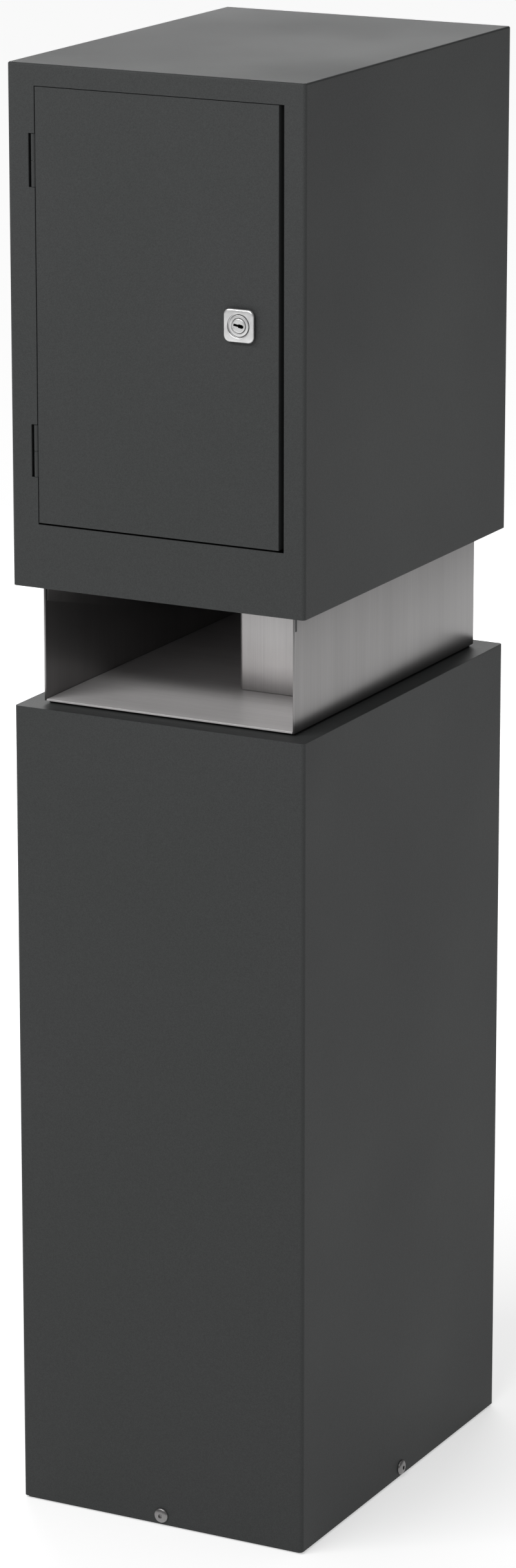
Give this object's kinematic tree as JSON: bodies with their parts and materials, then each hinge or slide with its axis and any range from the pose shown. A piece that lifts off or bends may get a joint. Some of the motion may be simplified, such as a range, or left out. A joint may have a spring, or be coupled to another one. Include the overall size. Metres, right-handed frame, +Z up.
{
  "type": "pedestal mailbox",
  "caption": "Free-standing painted steel mailbox on a column, with a hinged lockable door, an open stainless newspaper compartment and a rear letter flap.",
  "frame": {"origin": "on the ground under the middle of the column", "axes": "+Z up, door faces -Y, +X to the right of someone facing the door"},
  "size_m": [0.2552, 0.358, 1.15],
  "materials": {
    "painted_steel": "matt fine-textured anthracite powder coat",
    "stainless_steel": "brushed",
    "zinc_plated_steel": "bright zinc plating",
    "chromed_zinc": "satin chrome",
    "black_rubber": "matt"
  },
  "bodies": {
    "mailbox": {"column_shell": "painted_steel", "base_plate": "painted_steel", "base_screw_front": "stainless_steel", "base_nut_front": "zinc_plated_steel", "base_screw_right": "stainless_steel", "base_nut_right": "zinc_plated_steel", "base_screw_rear": "stainless_steel", "base_nut_rear": "zinc_plated_steel", "base_screw_left": "stainless_steel", "base_nut_left": "zinc_plated_steel", "section_gasket": "black_rubber", "newspaper_wrap": "stainless_steel", "newspaper_floor": "stainless_steel", "newspaper_roof": "stainless_steel", "newspaper_partition": "stainless_steel", "column_bolt_1": "zinc_plated_steel", "column_nut_1": "zinc_plated_steel", "column_bolt_2": "zinc_plated_steel", "column_nut_2": "zinc_plated_steel", "column_bolt_3": "zinc_plated_steel", "column_nut_3": "zinc_plated_steel", "column_bolt_4": "zinc_plated_steel", "column_nut_4": "zinc_plated_steel", "cabinet_bolt_1": "zinc_plated_steel", "cabinet_nut_1": "zinc_plated_steel", "cabinet_bolt_2": "zinc_plated_steel", "cabinet_nut_2": "zinc_plated_steel", "cabinet_bolt_3": "zinc_plated_steel", "cabinet_nut_3": "zinc_plated_steel", "cabinet_bolt_4": "zinc_plated_steel", "cabinet_nut_4": "zinc_plated_steel", "cabinet_shell": "painted_steel", "cabinet_floor": "painted_steel", "rear_panel": "painted_steel", "anti_theft_baffle": "painted_steel", "door_stop_frame": "painted_steel", "door_buffer_top": "black_rubber", "door_buffer_bottom": "black_rubber", "hinge_frame_leaf_top": "painted_steel", "hinge_pin_top": "zinc_plated_steel", "hinge_frame_leaf_bottom": "painted_steel", "hinge_pin_bottom": "zinc_plated_steel", "flap_bracket_left": "painted_steel", "flap_bracket_right": "painted_steel", "flap_pin": "stainless_steel"},
    "door": {"door_panel": "painted_steel", "hinge_door_leaf_top": "painted_steel", "hinge_door_leaf_bottom": "painted_steel", "lock_rosette": "chromed_zinc", "lock_housing": "chromed_zinc", "lock_nut": "zinc_plated_steel"},
    "lock_cylinder": {"lock_plug": "chromed_zinc", "lock_cam": "zinc_plated_steel", "cam_screw": "zinc_plated_steel"},
    "letter_flap": {"letter_flap": "painted_steel"}
  },
  "joints": [
    {"name": "door_hinge", "type": "hinge", "parent": "mailbox", "child": "door", "pos_m": [-0.1035, -0.1735, 0.967], "axis": [0, 0, -1], "range_deg": [0, 105]},
    {"name": "lock_turn", "type": "hinge", "parent": "door", "child": "lock_cylinder", "pos_m": [0.0716, -0.175, 0.9683], "axis": [0, -1, 0], "range_deg": [0, 90]},
    {"name": "flap_hinge", "type": "hinge", "parent": "mailbox", "child": "letter_flap", "pos_m": [0, 0.17715, 1.124], "axis": [1, 0, 0], "range_deg": [0, 85]}
  ]
}
